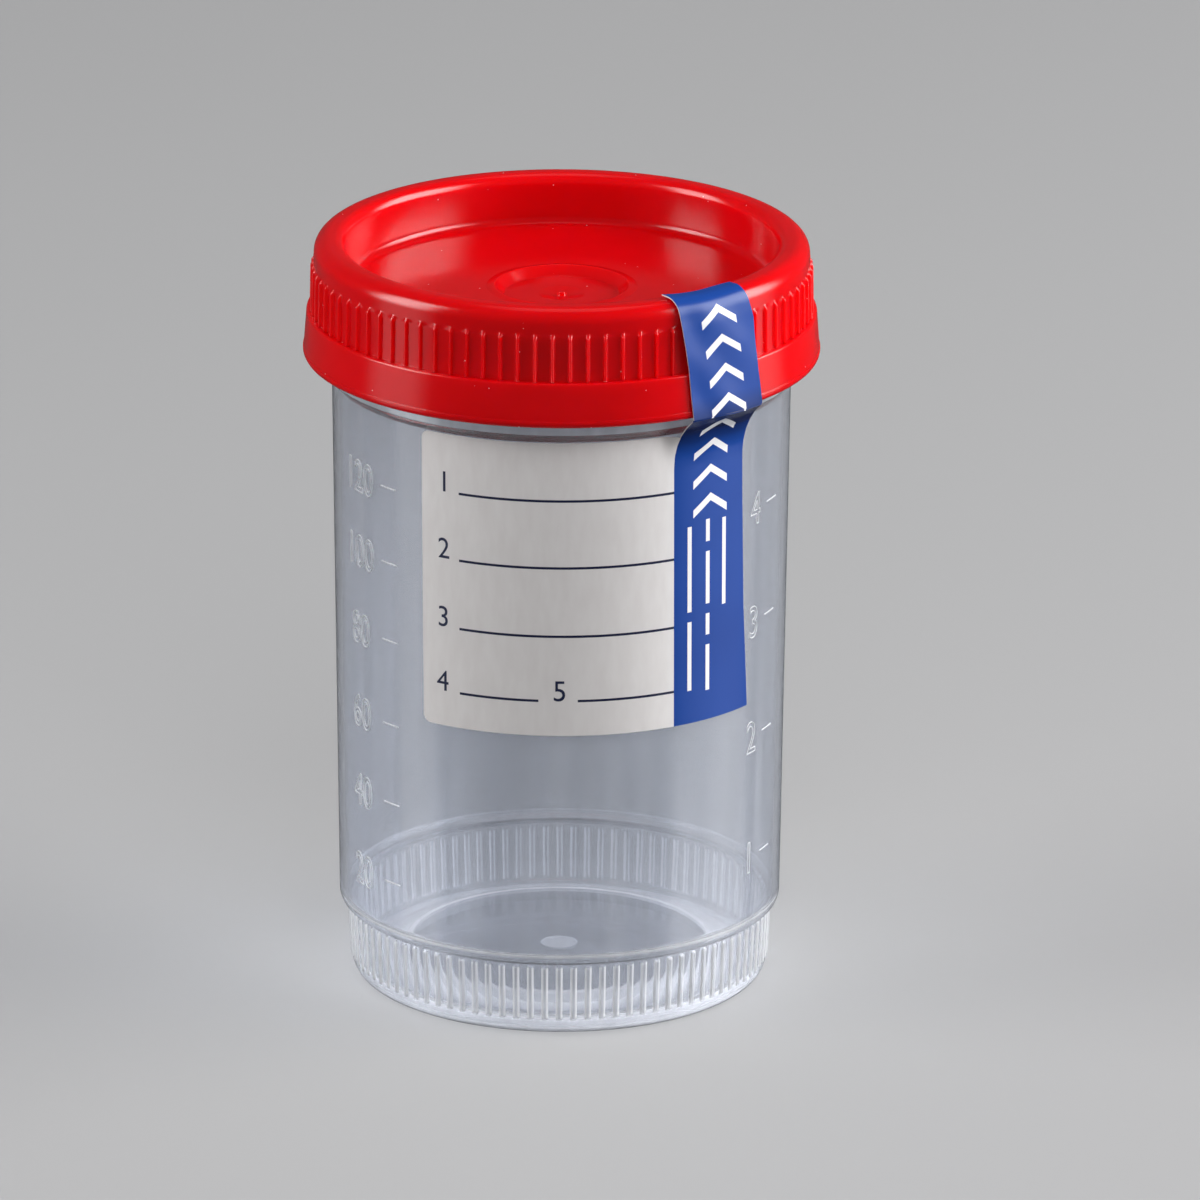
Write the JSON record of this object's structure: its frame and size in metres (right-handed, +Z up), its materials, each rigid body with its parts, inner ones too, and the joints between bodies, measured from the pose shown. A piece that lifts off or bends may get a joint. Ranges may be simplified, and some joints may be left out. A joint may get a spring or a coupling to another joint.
{
  "type": "specimen container",
  "caption": "Translucent tapered specimen cup with a ribbed stacking base, a red screw cap with a recessed top, a write-on label and a blue tamper strip.",
  "frame": {"origin": "centre of the base, on the table", "axes": "+Z up the cup's axis; the label faces -Y and +X is to the right when the label is read"},
  "size_m": [0.0598, 0.0598, 0.0898],
  "materials": {
    "cup_plastic": "translucent polypropylene, smooth moulded surface",
    "cap_plastic": "glossy moulded red",
    "label_film": "satin write-on film, printed blue along the strip",
    "strip_film": "satin film printed blue"
  },
  "bodies": {
    "cup": {"cup": "cup_plastic", "label": "label_film"},
    "cap": {"screw_cap": "cap_plastic", "seal_tab": "strip_film"}
  },
  "joints": [
    {"name": "cap_lift", "type": "slide", "parent": "cup", "child": "cap", "axis": [0, 0, 1], "range_m": [0, 0.03]}
  ]
}
